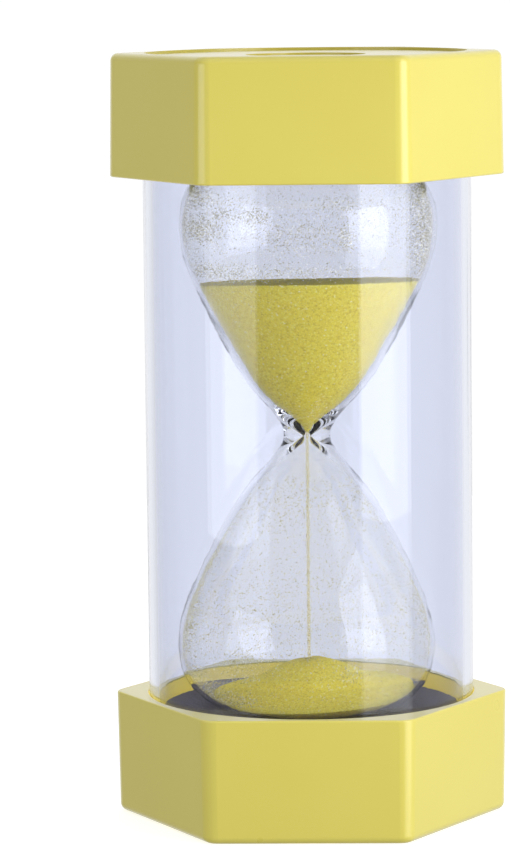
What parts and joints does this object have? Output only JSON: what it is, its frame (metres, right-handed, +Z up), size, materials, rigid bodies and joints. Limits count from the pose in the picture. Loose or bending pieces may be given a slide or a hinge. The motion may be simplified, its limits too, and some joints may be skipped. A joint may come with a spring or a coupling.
{
  "type": "hourglass",
  "caption": "Sand timer: a blown glass vessel of yellow sand in a clear tube between hexagonal yellow caps, shown while the sand is running.",
  "frame": {"origin": "middle of the lower cap's underside, on the hourglass's long axis", "axes": "+Z up along the long axis, from the lower cap to the upper one; two flat sides of the hexagonal caps face -Y (the front) and +Y, and two of their corners point to -X and +X"},
  "size_m": [0.082, 0.072, 0.16],
  "materials": {
    "cap_plastic": "satin",
    "tube_acrylic": "polished",
    "vessel_glass": "polished",
    "stopper_rubber": "matte",
    "pad_foam": "matte",
    "sand": "matte"
  },
  "bodies": {
    "root": {"lower_cap": "cap_plastic", "upper_cap": "cap_plastic", "lower_end_disc": "cap_plastic", "upper_end_disc": "cap_plastic", "outer_tube": "tube_acrylic", "glass_vessel": "vessel_glass", "filler_stopper": "stopper_rubber", "lower_foam_pad": "pad_foam", "upper_foam_pad": "pad_foam", "upper_sand": "sand", "sand_stream": "sand", "lower_sand": "sand"}
  },
  "joints": []
}
